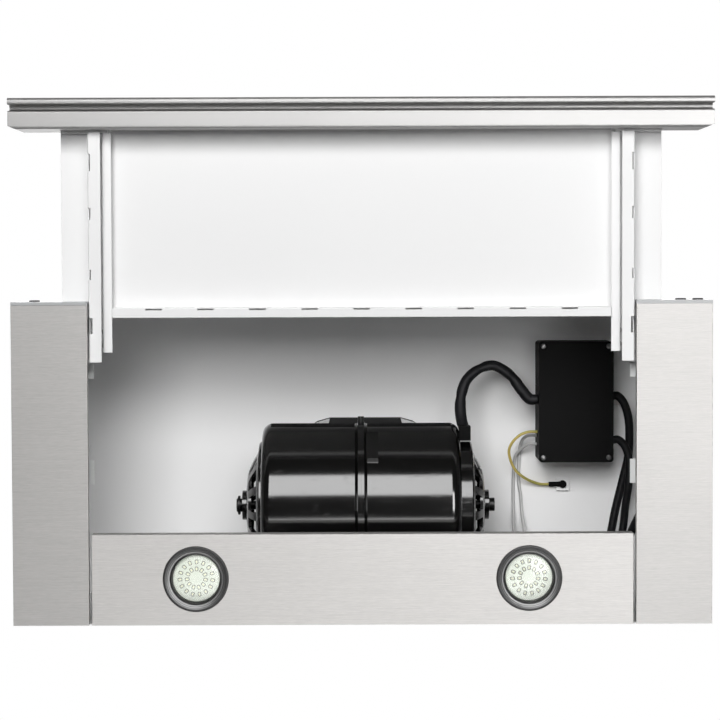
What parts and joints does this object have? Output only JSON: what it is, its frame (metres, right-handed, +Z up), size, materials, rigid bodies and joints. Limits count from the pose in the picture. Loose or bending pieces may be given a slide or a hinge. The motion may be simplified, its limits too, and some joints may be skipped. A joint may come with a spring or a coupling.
{
  "type": "telescopic range hood",
  "caption": "Slide-out range hood, shown open from below: white tower, steel side covers and lamp panel, sliding visor drawer, twin-inlet blower and control box.",
  "frame": {"origin": "centre of the round duct outlet, on the top face of its flange, where a duct pushed over the spigot stops", "axes": "+X to the right seen from the front, +Y towards the wall, +Z up; the visor slides out along -Y"},
  "size_m": [0.598, 0.4498, 0.2285],
  "materials": {
    "white_paint": "smooth white powder coat",
    "cover_steel": "satin, grain across the hood",
    "visor_steel": "satin, grain along the profile",
    "cap_grey": "light grey",
    "black_rubber": "matt",
    "guide_white": "moulded",
    "bezel_chrome": "polished, slightly dark",
    "lens_clear": "clear, faint green",
    "led_white": "pale board with yellow chips",
    "heat_sink": "spun",
    "zinc_screw": "zinc plated",
    "housing_black": "glossy moulding",
    "bush_bronze": "sintered",
    "shaft_dark": "dark ground steel",
    "wheel_plastic": "glass filled",
    "motor_steel": "laminated",
    "duct_black": "moulded",
    "flap_metal": "plain sheet",
    "box_black": "fine texture",
    "screw_dark": "blackened",
    "board_green": "lacquered board",
    "button_black": "fine texture",
    "harness_black": "soft sleeve",
    "wire_yellow": "insulation",
    "lead_grey": "insulation"
  },
  "bodies": {
    "hood_body": {"roof_panel": "white_paint", "side_wall_left": "white_paint", "side_wall_right": "white_paint", "front_wall": "white_paint", "rear_wall": "white_paint", "side_box_left": "white_paint", "side_box_right": "white_paint", "side_cover_left": "cover_steel", "side_cover_right": "cover_steel", "front_cap_left": "cap_grey", "front_cap_right": "cap_grey", "rubber_stop": "black_rubber", "slide_guide_left": "guide_white", "slide_guide_right": "guide_white", "lamp_panel": "cover_steel", "lamp_bezel_left": "bezel_chrome", "lamp_bezel_right": "bezel_chrome", "lamp_lens_left": "lens_clear", "lamp_lens_right": "lens_clear", "led_boards": "led_white", "lamp_cans": "heat_sink", "fan_housing_left": "housing_black", "fan_housing_right": "housing_black", "outlet_flange": "housing_black", "inlet_guard_left": "housing_black", "inlet_guard_right": "housing_black", "shaft_bushes": "bush_bronze", "motor_stator": "motor_steel", "terminal_block": "housing_black", "duct_spigot": "duct_black", "flap_pin": "zinc_screw", "control_box_base": "box_black", "control_box_lid": "box_black", "lid_screws": "screw_dark", "circuit_board": "board_green", "switch_block": "box_black", "motor_harness": "harness_black", "earth_wire": "wire_yellow", "lamp_leads": "lead_grey", "supply_leads": "harness_black", "earth_terminal": "zinc_screw", "cable_gland": "duct_black"},
    "visor_drawer": {"visor_profile": "visor_steel", "visor_plugs": "cap_grey", "drawer_pan": "white_paint", "drawer_rail_left": "white_paint", "drawer_rail_right": "white_paint", "filter_bracket_left": "white_paint", "filter_bracket_right": "white_paint", "cross_member": "white_paint", "visor_lips": "white_paint", "bracket_screws": "zinc_screw"},
    "fan_rotor": {"fan_shaft": "shaft_dark", "fan_wheel_left": "wheel_plastic", "fan_wheel_right": "wheel_plastic", "motor_rotor": "motor_steel"},
    "fan_button": {"button_fan": "button_black"},
    "lamp_button": {"button_lamp": "button_black"},
    "front_flap": {"flap_front": "flap_metal"},
    "rear_flap": {"flap_rear": "flap_metal"}
  },
  "joints": [
    {"name": "visor_slide", "type": "slide", "parent": "hood_body", "child": "visor_drawer", "axis": [0, 1, 0], "range_m": [0, 0.143]},
    {"name": "fan_spin", "type": "hinge", "parent": "hood_body", "child": "fan_rotor", "pos_m": [0, 0.0122, -0.0825], "axis": [1, 0, 0], "continuous": true},
    {"name": "fan_button_press", "type": "slide", "parent": "hood_body", "child": "fan_button", "axis": [0, 1, 0], "range_m": [0, 0.002], "stiffness_N_per_m": 400, "springref_m": -0.002},
    {"name": "lamp_button_press", "type": "slide", "parent": "hood_body", "child": "lamp_button", "axis": [0, 1, 0], "range_m": [0, 0.002], "stiffness_N_per_m": 400, "springref_m": -0.002},
    {"name": "front_flap_turn", "type": "hinge", "parent": "hood_body", "child": "front_flap", "pos_m": [0, 0, 0.0055], "axis": [-1, 0, 0], "range_deg": [0, 75]},
    {"name": "rear_flap_turn", "type": "hinge", "parent": "hood_body", "child": "rear_flap", "pos_m": [0, 0, 0.0055], "axis": [1, 0, 0], "range_deg": [0, 75]}
  ]
}
